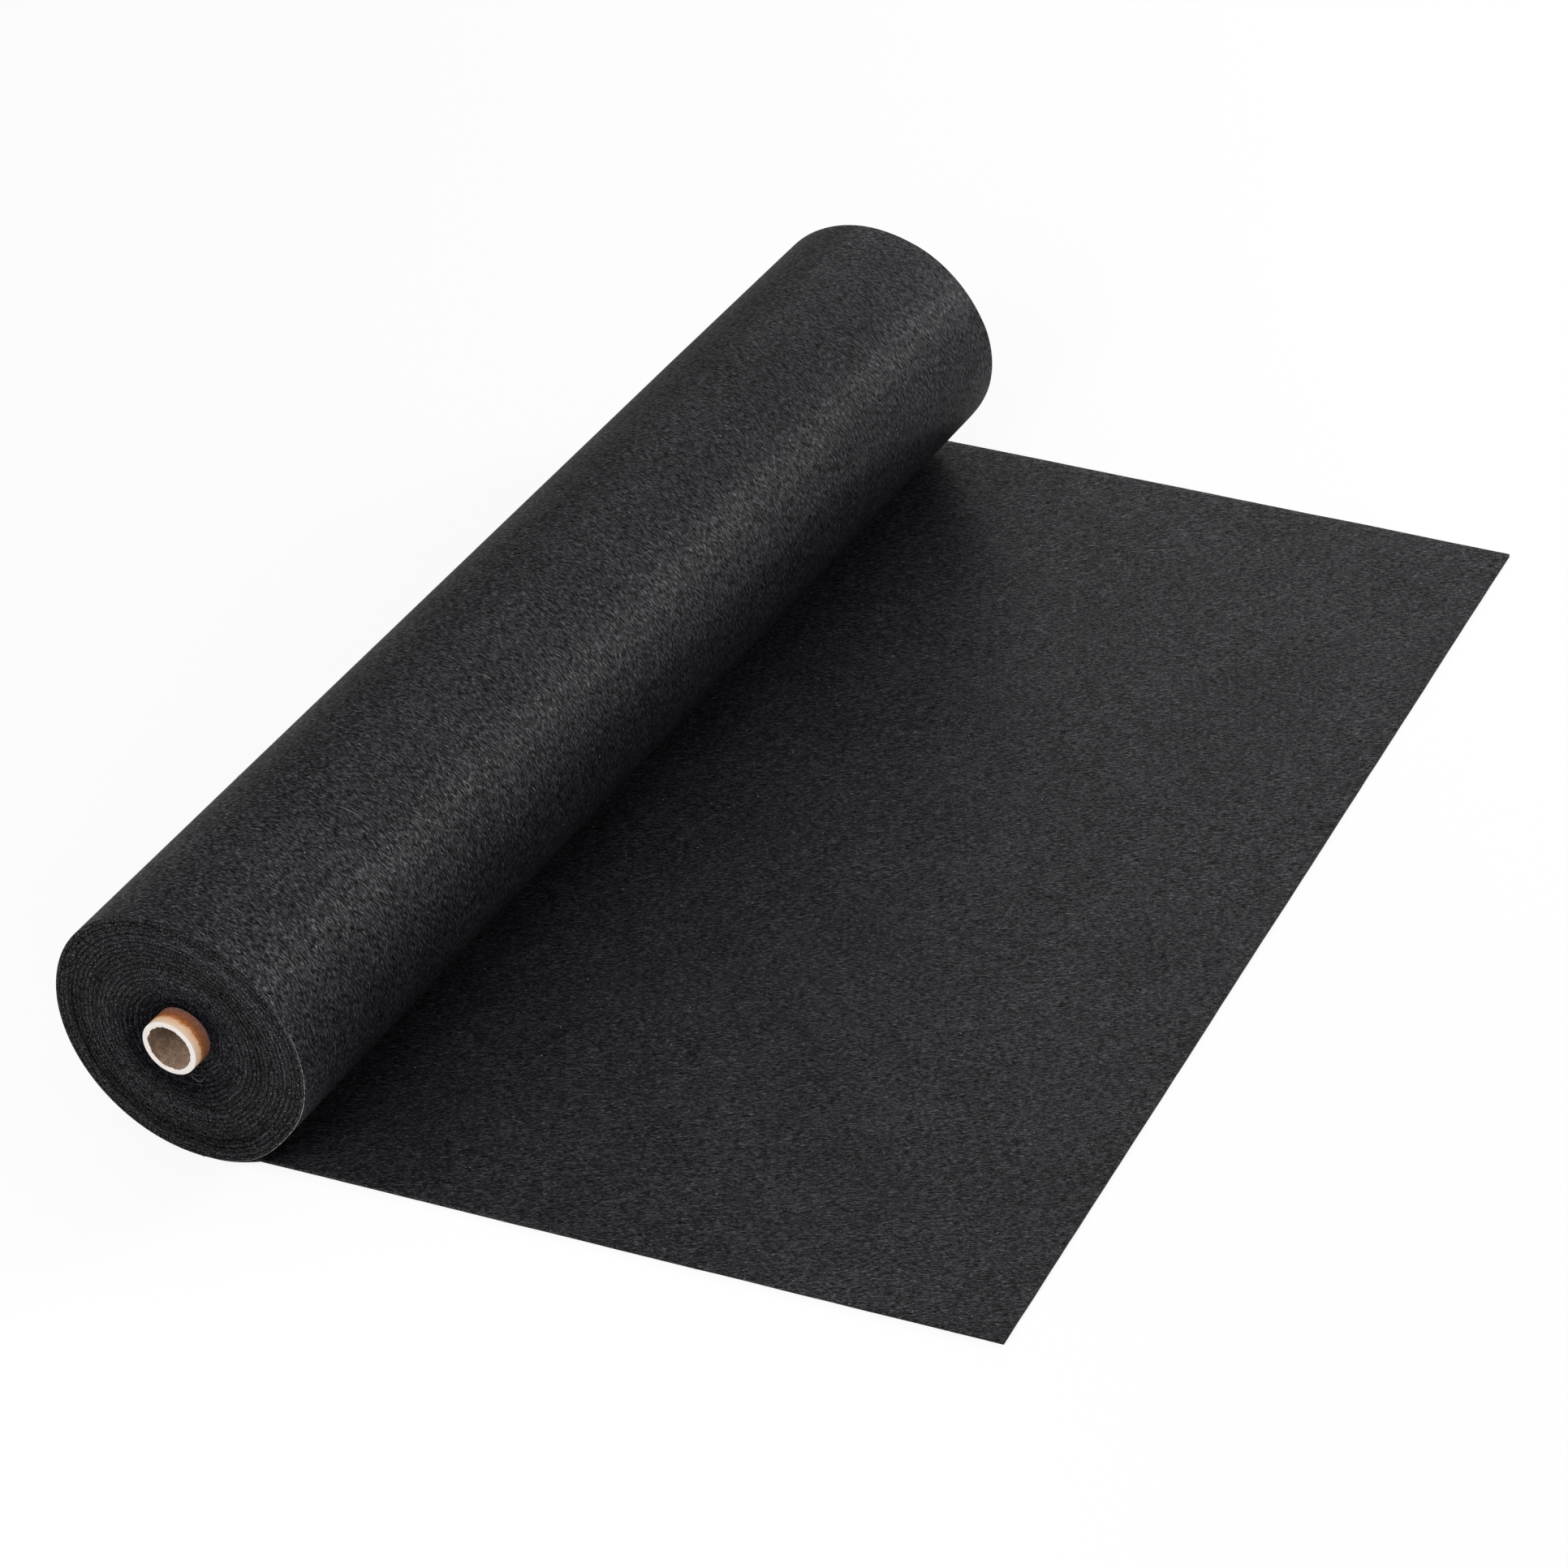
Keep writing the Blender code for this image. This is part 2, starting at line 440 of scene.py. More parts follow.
woundSet = {
    "pointsPerTurn": 120,
    "firstClimb": 0.3,  # share of a turn in which the first layer climbs onto the cloth's own start
    "lastClimb": 1.0,
    "layerThickness": 0.00317,  # the fluff fills most of the air between two layers
    "edgeRound": 0.00042,
    "edgeAngles": (0, 30, 60, 90),
    "sideStations": (0.2, 0.03, 0.012, 0.0055),  # rows of points this far in from the cut edges
    "edgeReach": 0.012,  # how far in from a cut edge its layers wander
    "wander": 0.0007,
    "jitter": 0.0004,
    "pinch": 0.05,
    "rhythm": {"wander": (0.43, 0), "jitter": (2.7, 11), "pinch": (1.9, 23)},  # changes a turn, and start
    "pinchFrom": (0.9, 0.35),  # strength and middle
    "well": 0.006,  # how far the first turns sit back at the near end
    "wellTurns": 8.0,
    "wellFull": 0.25,  # share of them that sits back wholly
    "seed": 4,
    "lean": 0.0018,  # how far the outer turns lean towards the laid cloth at the far end
    "bulge": 0.0021,  # how far the outer turns stand out at the bottom of the near end
    "bulgeFrom": (-2, 8, 28, 50),  # degrees from the bottom: it starts, is full until, and ends
    "bulgeTurns": (10, 22),  # it starts, and is full
    "endReach": 0.03,  # the bulge and the dark well end this far in
    "gapReach": 0.013,
    "gapShares": (-0.7, 0.3),  # how much of a gap each of its two layers gives
    "gapSlope": 5,  # how steeply it opens and closes
    "gaps": (  # between two layers: first turn, last turn and width
        (18.68, 19.10, 0.0017), (18.33, 18.58, 0.0009), (16.36, 16.56, 0.0008), (20.8, 20.96, 0.0008),
        (12.2, 12.5, 0.0008),
    ),
    "sagSpan": 0.012,
    "sag": (  # the soft roll is wider than it is high: degrees from the bottom, and mm outwards at the rim
        (0, 0), (11, 1.4), (27, 2.9), (46, 1.9), (60, 2.8), (78, 3.9), (94, 3.5), (110, 1.7), (127, 0.3),
        (148, -0.7), (163, -1.5), (180, -1.1), (200, -0.4), (226, 0.4), (254, 0.1), (272, 0.3), (290, 0.5),
        (307, 0.6), (325, 0.5), (345, 0.1), (360, 0),
    ),
    # painted shade all round the core fades out over this many turns
    "darkTurns": 5.2,
    "shadows": (  # painted shadows beside the core: degrees, strength, turns it is full until, and ends
        (325, 0.60, 7.2, 9.2), (130, 0.5, 6.8, 9.0),
    ),
    "wellClear": (60, 0.8),  # the painted shade in the well is lighter on this side, by this much
    "faceDepth": 0.002,  # the cut faces' fluff reaches this far in
    "lightFrom": 150,  # the side the near face's painted light comes from, in degrees from the bottom
    "paintedLightAndTone": (  # painted light and shade on the near face: share of the radius, and how much lighter the side towards lightFrom is made there
        (0.25, 0), (0.36, 0.02), (0.42, 0.10), (0.49, 0.32), (0.56, 0.32), (0.61, -0.12), (0.66, -0.16),
        (0.71, -0.08), (0.77, 0.26), (0.84, 0.58), (0.88, 0.24), (0.92, 0.04), (1.0, 0.16), (1.1, 0.16),
    ),
    "uneven": 0.5,  # how much single layers differ
    "unevenRhythm": ((1.7, 0, 1), (5.3, 8, 0.6)),  # changes a turn, start and share
    "farPaler": 0.34,  # the outside is paler towards the far end
    "farPalerReach": 0.11,
    "paintedRimHighlight": (22.02, 22.36),  # turns over which the outermost edge gets a painted highlight
    "rimFade": (0.02, 0.17),  # turns in which it comes and goes
    "rimCorner": (0.6, 0.9),  # its share of the rounded edge, inwards and along
}


def clothSection(settings):  # the cloth's cross-section as a closed line: thickness on X, width on Y
    halfThick, bend = settings["layerThickness"] / 2, settings["edgeRound"]
    edge = [(halfThick, halfWidth - reach) for reach in settings["sideStations"]]
    for degrees in settings["edgeAngles"]:
        turned = math.radians(degrees)
        edge.append((halfThick - bend * (1 - math.cos(turned)), halfWidth - bend * (1 - math.sin(turned))))
    loop = edge + [(-x, y) for x, y in reversed(edge)]
    loop += [(-x, -y) for x, y in loop]
    curve = bpy.data.curves.new("clothSection", "CURVE")
    curve.dimensions = "3D"
    line = curve.splines.new("POLY")
    line.points.add(len(loop) - 1)
    for point, (x, y) in zip(line.points, loop):
        point.co = (x, y, 0, 1)
    line.use_cyclic_u = True
    return addObject("clothSection", curve)


def kept(tree, geometry, kind, value):  # a value held as it is now, whatever happens to the shape
    held = addNode(tree, "GeometryNodeCaptureAttribute", domain="POINT")
    held.capture_items.new(kind, "Value")
    wire(tree, geometry, held.inputs["Geometry"])
    wire(tree, value, held.inputs[1])
    return held.outputs["Geometry"], held.outputs[1]


windingSizes = (
    "firstClimb", "lastClimb", "edgeReach", "wander", "jitter", "pinch", "well", "wellTurns", "sagSpan",
)


def windingTree(settings):
    kinds = {"Section": "Object", "Turns": "Int", "Points per turn": "Int", "Felt": "Material"}
    for label in ("Middle radius", "Layer spacing", "Half width", "Seed") + windingSizes:
        kinds[label] = "Float"
    tree, given = newTree("clothWinding", kinds)
    line = addNode(tree, "GeometryNodeCurvePrimitiveLine", End=(1, 0, 0))
    count = timesPlus(tree, given["Turns"], given["Points per turn"], 1)
    even = passOn(tree, "GeometryNodeResampleCurve", line.outputs["Curve"], {"Count": count})
    wound = times(tree, addNode(tree, "GeometryNodeSplineParameter").outputs["Factor"], given["Turns"])
    lastTurn = minus(tree, given["Turns"], 1)
    turn = maths(tree, "MINIMUM", maths(tree, "FLOOR", wound), lastTurn)
    place = minus(tree, wound, turn)
    grown = maths(tree, "DIVIDE", turn, lastTurn)
    widening = minus(tree, given["lastClimb"], given["firstClimb"])
    climbShare = timesPlus(tree, widening, grown, given["firstClimb"])
    climb = maths(tree, "DIVIDE", plus(tree, minus(tree, place, 1), climbShare), climbShare, clamp=True)
    layer = plus(tree, turn, stepUp(tree, climb, 0, 1))
    radius = timesPlus(tree, layer, given["Layer spacing"], given["Middle radius"])
    sagging = addNode(tree, "ShaderNodeFloatCurve")
    points = sagging.mapping.curves[0].points
    while len(points) < len(settings["sag"]):
        points.new(0.5, 0.5)
    for point, (degrees, outwards) in zip(points, settings["sag"]):
        point.location = (degrees / 360, 0.5 + outwards / 1000 / settings["sagSpan"])
    sagging.mapping.update()
    wire(tree, place, sagging.inputs["Value"])
    sag = times(tree, minus(tree, sagging.outputs["Value"], 0.5), given["sagSpan"])
    radius = timesPlus(tree, sag, maths(tree, "DIVIDE", wound, given["Turns"]), radius)
    angle = times(tree, wound, 2 * math.pi)
    below = times(tree, maths(tree, "COSINE", angle), -1)
    spot = joined(tree, X=times(tree, radius, maths(tree, "SINE", angle)), Y=times(tree, radius, below))

    # the turns are held before the line is bent, as its share goes by length
    straight, turnsIn = kept(tree, even, "FLOAT", wound)
    spiral = passOn(tree, "GeometryNodeSetPosition", straight, {"Position": spot})
    gone = addNode(tree, "GeometryNodeSplineParameter").outputs["Length"]
    bent, length = kept(tree, spiral, "FLOAT", gone)
    upright = passOn(tree, "GeometryNodeSetCurveNormal", bent, mode="Z_UP")

    section = addNode(tree, "GeometryNodeObjectInfo")
    wire(tree, given["Section"], section.inputs["Object"])
    position = addNode(tree, "GeometryNodeInputPosition").outputs[0]
    outline, acrossPlace = kept(tree, section.outputs["Geometry"], "VECTOR", position)
    flow = passOn(tree, "GeometryNodeCurveToMesh", upright, {"Profile Curve": outline}, **{"Fill Caps": True})

    # the layers' cut edges: each wanders sideways, some are pinched thin, and the first turns sit back
    here = partsOf(tree, position)
    depth = partsOf(tree, acrossPlace)["X"]
    outTo = minus(tree, maths(tree, "ABSOLUTE", here["Z"]), given["Half width"])
    near = stepUp(tree, maths(tree, "DIVIDE", outTo, given["edgeReach"]), -1, 0)
    end = maths(tree, "SIGN", here["Z"])

    def layered(key):  # from -1 to 1, changing from layer to layer
        perTurn, start = settings["rhythm"][key]
        texture = addNode(tree, "ShaderNodeTexNoise", Scale=1.0, Detail=1.0)
        x, y = times(tree, turnsIn, perTurn), timesPlus(tree, end, 5.0, start)  # the two ends differ
        wire(tree, joined(tree, X=x, Y=y, Z=given["Seed"]), texture.inputs["Vector"])
        return timesPlus(tree, texture.outputs["Fac"], 2.0, -1.0)

    wander = times(tree, layered("wander"), given["wander"])
    jitter = times(tree, layered("jitter"), given["jitter"])
    shift = times(tree, times(tree, plus(tree, wander, jitter), near), end)
    pinched = timesPlus(tree, layered("pinch"), *settings["pinchFrom"], clamp=True)
    thinned = times(tree, times(tree, depth, times(tree, pinched, given["pinch"])), near)
    wellPlace = maths(tree, "DIVIDE", turnsIn, given["wellTurns"])
    inner = minus(tree, 1, stepUp(tree, wellPlace, settings["wellFull"], 1))
    nearness = plus(tree, here["Z"], given["Half width"])
    sunk = times(tree, times(tree, inner, given["well"]), nearness)
    sideways = joined(tree, Z=minus(tree, shift, sunk))
    radial = vectorMaths(tree, "NORMALIZE", joined(tree, X=here["X"], Y=here["Y"]))
    inwards = vectorMaths(tree, "SCALE", radial, times(tree, thinned, -1))
    worn = vectorMaths(tree, "ADD", inwards, sideways)
    clothPlace = joined(tree, X=length, Y=here["Z"], Z=depth)
    for label, kind, value in (("clothPlace", "FLOAT_VECTOR", clothPlace), ("turnsIn", "FLOAT", turnsIn)):
        settled = {"data_type": kind, "domain": "POINT", "Name": label}
        flow = passOn(tree, "GeometryNodeStoreNamedAttribute", flow, {"Value": value}, **settled)
    flow = passOn(tree, "GeometryNodeSetPosition", flow, {"Offset": worn})
    endTree(tree, passOn(tree, "GeometryNodeSetShadeSmooth", flow), given["Felt"])
    return tree


def wellShadow(settings, wound, degrees, reach):  # painted shadow and shade: how dark the felt is made down beside the core
    shadow = max(
        strength * facing(degrees - turned) * clipped((last - wound) / (last - full))
        for turned, strength, full, last in settings["shadows"])
    side, clear = settings["wellClear"]
    around = (1 - clear * facing(degrees - side) ** 2) * max(0.0, 1 - wound / settings["darkTurns"])
    return max(shadow, around) * max(0.0, 1 - reach / settings["endReach"])


def toneAndPaintedLight(settings, wound, degrees, reach, radius):  # painted light and shade on the near cut face, lighter towards lightFrom, plus each layer's own tone; the outside is paler towards the far end
    single = settings["uneven"] * sum(
        share * noiseAt(wound * perTurn, settings["seed"], start)
        for perTurn, start, share in settings["unevenRhythm"])
    toFarEnd = clothSize["width"] - reach
    if reach < settings["faceDepth"]:
        towards = math.cos(math.radians(degrees - settings["lightFrom"]))
        return between(settings["paintedLightAndTone"], radius) * towards + single
    if toFarEnd < settings["faceDepth"]:
        return single
    return settings["farPaler"] * max(0.0, 1 - toFarEnd / settings["farPalerReach"]) ** 2


def paintedRimHighlightAt(settings, wound, depth, reach):  # how strong the painted highlight on the outermost edge is
    deep, far = settings["rimCorner"]
    bend = settings["edgeRound"]
    if depth <= settings["layerThickness"] / 2 - bend * deep or reach >= bend * far:
        return 0.0
    (start, end), (comes, goes) = settings["paintedRimHighlight"], settings["rimFade"]
    return clipped(min((wound - start) / comes, (end - wound) / goes))


def bulgeOut(settings, wound, degrees, reach):  # how far the near end stands out at the bottom
    degrees -= 360 if degrees > 200 else 0  # it runs on across the bottom
    start, full, last, end = settings["bulgeFrom"]
    share = clipped(min((degrees - start) / (full - start), (end - degrees) / (end - last)))
    first, whole = settings["bulgeTurns"]
    outer = clipped((wound - first) / (whole - first))
    return settings["bulge"] * share * outer * max(0.0, 1 - reach / settings["endReach"])


def gapShift(settings, wound, depth, reach):  # how far out a layer's side moves where two layers part
    layerTurn = wound if depth > 0 else wound - 1
    inside, outside = settings["gapShares"]
    slope, shift = settings["gapSlope"], 0.0
    for start, end, width in settings["gaps"]:
        if start < layerTurn < end:
            share = (layerTurn - start) / (end - start)
            opened = width * min(1, slope * share, slope * (1 - share)) * (1 - reach / settings["gapReach"])
            shift += opened * (inside if depth > 0 else outside)
    return shift


def paintLightAndShapeEdges(mesh, settings):  # painted light, shade and highlight on the layers' edges, each layer's own tone, and how they part, bulge and lean
    labels = ("turnsIn", "clothPlace", "paintedRimHighlight", "well", "paintedLightAndTone")
    for label in labels[2:]:
        mesh.attributes.new(label, "FLOAT", "POINT")
    turnsIn, place, pale, well, paintedLightAndTone = (mesh.attributes[label].data for label in labels)
    for index, vertex in enumerate(mesh.vertices):
        wound, depth = turnsIn[index].value, place[index].vector.z
        reach = halfWidth - place[index].vector.y  # from the near end
        degrees = (wound % 1) * 360
        radius = math.hypot(vertex.co.x, vertex.co.y) / rollRadius
        # painted shadow beside the core, painted light and shade on the near face, and a painted highlight on
        # the outermost edge
        well[index].value = wellShadow(settings, wound, degrees, reach)
        paintedLightAndTone[index].value = toneAndPaintedLight(settings, wound, degrees, reach, radius)
        pale[index].value = paintedRimHighlightAt(settings, wound, depth, reach)
        vertex.co.z += bulgeOut(settings, wound, degrees, reach)
        farShare = max(0.0, reach / halfWidth - 1)
        vertex.co.x += settings["lean"] * wound / clothSize["turns"] * farShare ** 2
        if reach <= settings["gapReach"]:
            out = Vector((vertex.co.x, vertex.co.y, 0)).normalized()
            vertex.co += out * gapShift(settings, wound, depth, reach)


feltOnRoll = feltMaterial("feltOnRoll", feltLook, "clothPlace", leans=(12, -8), streaks=0.85, contrast=14.5)
feltOnFloor = feltMaterial("feltOnFloor", feltLook, None, leans=(28, 8), streaks=0.75, contrast=12.0)


def woundFelt(settings):
    section = clothSection(settings)
    values = {
        "Section": section, "Turns": clothSize["turns"], "Points per turn": settings["pointsPerTurn"],
        "Middle radius": firstRadius - settings["layerThickness"] / 2, "Layer spacing": clothSize["spacing"],
        "Half width": halfWidth, "Seed": float(settings["seed"]), "Felt": feltOnRoll,
    }
    values.update((key, settings[key]) for key in windingSizes)
    made = growMesh("woundFelt", windingTree(settings), values)
    bpy.data.objects.remove(section)
    mesh = made.data
    paintLightAndShapeEdges(mesh, settings)
    mesh.transform(Matrix.Translation((axisX, 0, axisZ)) @ Matrix.Rotation(math.radians(90), 4, "X"))
    outward(mesh)
    print("wound felt:", len(mesh.vertices), "points")
    return made


rollPiece = woundFelt(woundSet)

laidSet = {
    "nearReach": 0.603,  # from the roll's axis to the cut end
    "farReach": 0.544,
    "nip": 0.013076,
    "runOff": 0.03,
    "nearStep": 0.0080,  # the cloth leaves the roll this much further back
    "farStep": 0.0108,
    "nearDrawIn": 0.0142,
    "farDrawIn": 0.018,
    "nearGrowth": (0.008, 0.040),  # the sidestep grows between these reaches
    "farGrowth": (0.004, 0.038),
    "columns": 112,
    "runOffColumns": 43,
    "rows": 116,
    "wave": 0.0006,
    "waveSize": 0.12,
    "waveFrom": (3, 1, 0),
    "waveGrowth": 5,
    "edgeWander": 0.0002,
    "edgeSize": 0.025,
    "sideFade": 24,  # how steeply the ragged sides and end fade inwards
    "endFade": 30,
    "round": 0.0005,
    "roundSteps": 3,
    "sharpFrom": 50,  # degrees
}


def edgePoint(side, reach):  # a point of one of the cloth's long edges
    low, high = laidSet[side + "Growth"]
    share = clipped((reach - low) / (high - low))
    if side == "near":
        atRoll, end = -halfWidth, -halfWidth + laidSet["nearDrawIn"]
        share = share ** 2
    else:
        atRoll, end = halfWidth, halfWidth - laidSet["farDrawIn"]
        share = share * share * (3 - 2 * share)
    start, nip, far = atRoll + laidSet[side + "Step"], laidSet["nip"], laidSet[side + "Reach"]
    line = start + (end - start) * (reach - nip) / (far - nip)
    return Vector((axisX + reach, atRoll + (line - atRoll) * share, 0))


def laidFelt(settings):
    runOffEnd = settings["nip"] + settings["runOff"]
    beside, along, rows = settings["runOffColumns"], settings["columns"], settings["rows"]
    stations = [(runOffEnd * i / beside,) * 2 for i in range(beside)]
    for i in range(along + 1):
        ends = (settings["nearReach"], settings["farReach"])
        stations.append(tuple(runOffEnd + (end - runOffEnd) * (i / along) for end in ends))
    shape = bmesh.new()
    grid = []
    for column, (nearReach, farReach) in enumerate(stations):
        near, far = edgePoint("near", nearReach), edgePoint("far", farReach)
        free = max(0.0, (column - beside) / along)
        line = []
        for row in range(rows + 1):
            across = row / rows
            spot = near.lerp(far, across)
            ragged = noise.noise(spot / settings["edgeSize"]) * settings["edgeWander"]
            spot.y += ragged * (abs(across - 0.5) * 2) ** settings["sideFade"]
            spot.x += ragged * free ** settings["endFade"]
            low = max(0.0, noise.noise(spot / settings["waveSize"] + Vector(settings["waveFrom"])))
            lift = low * settings["wave"] * min(1, free * settings["waveGrowth"])
            line.append(shape.verts.new(spot + Vector((0, 0, clothSize["thickness"] + lift))))
        grid.append(line)
    for left, right in zip(grid, grid[1:]):
        for row in range(rows):
            shape.faces.new((left[row], right[row], right[row + 1], left[row + 1]))
    made = addObject("laidFelt", meshFrom("laidFelt", shape))
    slab = made.modifiers.new("thickness", "SOLIDIFY")
    slab.thickness = clothSize["thickness"]
    slab.offset = -1
    rim = made.modifiers.new("softEdges", "BEVEL")
    rim.width = settings["round"]
    rim.segments = settings["roundSteps"]
    rim.limit_method = "ANGLE"
    rim.angle_limit = math.radians(settings["sharpFrom"])
    solid = plainMesh(made)
    made.modifiers.clear()
    made.data = solid
    outward(solid)
    solid.shade_smooth()
    solid.materials.clear()
    solid.materials.append(feltOnFloor)
    print("laid felt:", len(solid.vertices), "points")
    return made


floorPiece = laidFelt(laidSet)

coreSet = {
    "sides": 128,
    "round": 0.0003,
    "stations": (0.511, 0.5107, 0.5100, 0.5088, 0.506, 0.502, 0.497, 0.48, 0.40, 0.2, 0.0),
    "cutRings": (0.92, 0.75, 0.5, 0.28, 0.1),  # shares of the wall from the bore out
    "lip": 0.35,  # this share of the wall is torn
    "ragged": 0.0009,
    "raggedDepth": 0.0012,
    "raggedRhythm": ((5, 2, 1), (17, 5, 0.6)),  # tears a radian, start and share
    "raggedAlong": 3,
    "sawDepth": 0.00012,
    "sawGrain": (900, 9),
    "sharpFrom": 50,  # degrees
}


def coreTube(settings):  # the paper tube, turned about its axis, its inner edge torn a little by the saw
    outer, bore = clothSize["coreRadius"], clothSize["boreRadius"]
    wall = outer - bore
    across, along = settings["sawGrain"]

    def bothEnds(line):  # from the near end to the far end and its mirror
        return line + [(radius, -reach) for radius, reach in reversed(line[:-1])]

    outside = bothEnds([
        (outer - (settings["round"] if reach == coreEnd else 0), reach) for reach in settings["stations"]])
    inside = bothEnds([(bore, reach) for reach in settings["stations"][1:]])
    rings = [bore + wall * share for share in settings["cutRings"]]
    loop = outside + [(radius, -coreEnd) for radius in rings]
    loop += inside[::-1] + [(radius, coreEnd) for radius in reversed(rings)]

    def torn(angle, radius, reach):
        if radius >= bore + wall * settings["lip"] or abs(reach) <= coreEnd - settings["raggedDepth"]:
            return 0.0
        return settings["ragged"] * sum(
            share * noiseAt(angle * tears, reach * settings["raggedAlong"], start)
            for tears, start, share in settings["raggedRhythm"])

    def sawn(out, radius, reach):
        if abs(reach) != coreEnd:
            return 0.0
        place = (out.x * radius * across, out.z * radius * across, reach * along)
        return abs(noiseAt(*place)) * settings["sawDepth"]

    shape = bmesh.new()
    turned = []
    for side in range(settings["sides"]):
        angle = 2 * math.pi * side / settings["sides"]
        out = Vector((math.sin(angle), 0, math.cos(angle)))
        line = []
        for radius, reach in loop:
            spot = Vector((axisX, reach - math.copysign(sawn(out, radius, reach), reach), axisZ))
            line.append(shape.verts.new(spot + out * (radius + torn(angle, radius, reach))))
        turned.append(line)
    for first, second in zip(turned, turned[1:] + turned[:1]):
        for index in range(len(loop)):
            after = (index + 1) % len(loop)
            shape.faces.new((first[index], first[after], second[after], second[index]))
    bmesh.ops.recalc_face_normals(shape, faces=shape.faces)
    mesh = meshFrom("paperCore", shape)
    mesh.shade_smooth()
    mesh.set_sharp_from_angle(angle=math.radians(settings["sharpFrom"]))
    mesh.materials.append(boardMaterial(boardLook))
    print("core:", len(mesh.vertices), "points")
    return addObject("paperCore", mesh)


boardLook = {
    "fibre": 0.0009,
    "blotch": 0.004,
    "bands": 0.020,  # the bands behind the cut take up this much
    "creamReach": 0.0080,
    "bandStops": (("pale", 0.25), ("cream", 0.74), ("orange", 0.98), ("brown", 1.25)),  # shares of creamReach
    "deepFrom": 0.9,  # share of the bands
    "waver": 0.005,  # how far their edges wander
    "pale": (0.98, 0.74, 0.56),
    "cream": (0.97, 0.58, 0.34),
    "orange": (0.53, 0.20, 0.062),
    "brown": (0.33, 0.098, 0.030),
    "deep": (0.22, 0.115, 0.09),
    "wornFrom": (0.8, 1.1),  # the paper is speckled from here on, in shares of creamReach
    "speckle": 3.4,
    "bore": (0.46, 0.32, 0.23),
    "boreDark": (0.17, 0.11, 0.075),
    "paintedBoreShade": 0.08,  # painted shade: the bore is darker on its -X side and lighter on the other
    "boreBlotch": 0.4,
    "boreFibre": 0.6,
    "boreStops": (0.38, 0.62),
    "cutEdge": (0.79, 0.74, 0.70),
    "cutDark": (0.55, 0.44, 0.37),
    "cutStops": (0.6, 0.95),
    "cutFibre": (0.5, 0.7),
    "cutDepth": 0.0004,
    "ply": 0.0007,
    "plyShade": 0.06,
    "plyRelief": 0.25,
    "relief": (0.0004, 0.7),
    "roughness": 0.85,
    "gloss": 0.25,
}


def boardMaterial(look):
    made, tree, shader = lookTree("paperBoard")
    source = objectPlace(tree)
    centred = addNode(tree, "ShaderNodeMapping", Location=(-axisX, 0, -axisZ))
    wire(tree, source, centred.inputs["Vector"])
    parts = partsOf(tree, centred.outputs["Vector"])
    square = [maths(tree, "POWER", parts[axis], 2.0) for axis in "XZ"]
    radius = maths(tree, "SQRT", plus(tree, *square))
    fromCut = minus(tree, coreEnd, maths(tree, "ABSOLUTE", parts["Y"]))
    fibres = grain(tree, source, look["fibre"], 0, 4, 0.7)
    blotches = grain(tree, source, look["blotch"], 0, 3, 0.6, 0.6)

    wavy = plus(tree, fromCut, timesPlus(tree, blotches, look["waver"], -look["waver"] / 2))
    cream, whole = look["creamReach"], look["bands"]
    stops = [(cream * share / whole, look[key]) for key, share in look["bandStops"]]
    stops.append((look["deepFrom"], look["deep"]))
    bands = ramp(tree, maths(tree, "DIVIDE", wavy, whole), stops)
    wornAway = stepUp(tree, wavy, *(cream * share for share in look["wornFrom"]))
    speckle = timesPlus(tree, fibres, look["speckle"], -look["speckle"] / 2)
    outside = vectorMaths(tree, "SCALE", bands, timesPlus(tree, speckle, wornAway, 1))

    # painted shade across the bore, mixed with blotches of the board's own tone
    boreShadeSlope = look["paintedBoreShade"] / clothSize["boreRadius"]
    worn = timesPlus(tree, parts["X"], boreShadeSlope, times(tree, blotches, look["boreBlotch"]))
    boreShade = timesPlus(tree, fibres, look["boreFibre"], worn)
    inside = twoTone(tree, boreShade, look["boreStops"], look["boreDark"], look["bore"])
    wallMiddle = (clothSize["coreRadius"] + clothSize["boreRadius"]) / 2
    sides = blended(tree, maths(tree, "LESS_THAN", radius, wallMiddle), outside, inside)

    plies = maths(tree, "SINE", times(tree, radius, 2 * math.pi / look["ply"]))
    cutShade = timesPlus(tree, fibres, *look["cutFibre"])
    cutShade = timesPlus(tree, plies, look["plyShade"], cutShade, clamp=True)
    cutColour = twoTone(tree, cutShade, look["cutStops"], look["cutDark"], look["cutEdge"])
    onCut = maths(tree, "LESS_THAN", fromCut, look["cutDepth"])
    named = {"Base Color": blended(tree, onCut, sides, cutColour), "Specular IOR Level": look["gloss"]}
    feed(tree, shader, Roughness=look["roughness"], **named)
    relief = plus(tree, fibres, times(tree, plies, times(tree, onCut, look["plyRelief"])))
    roughen(tree, shader, relief, *look["relief"])
    return made


corePiece = coreTube(coreSet)

tapeLook = {
    "dark": (0.15, 0.075, 0.04),
    "light": (0.22, 0.12, 0.065),
    "stops": (0.4, 0.6),
    "crease": (0.002, 0.02, 0.002),
    "shine": (0.3, 0.4),
    "relief": (0.0002, 0.5),
}


def tapeMaterial(look):
    made, tree, shader = lookTree("paperTape")
    wrinkles = grain(tree, objectPlace(tree), look["crease"], 0, 4, 0.65, 0.5)
    colour = twoTone(tree, wrinkles, look["stops"], look["dark"], look["light"])
    shine = timesPlus(tree, wrinkles, *look["shine"])
    feed(tree, shader, Roughness=shine, **{"Base Color": colour})
    roughen(tree, shader, wrinkles, *look["relief"])
    return made


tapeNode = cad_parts["start_tape"]
for slot in tapeNode.material_slots:
    slot.material = tapeMaterial(tapeLook)
print("tape dressed")

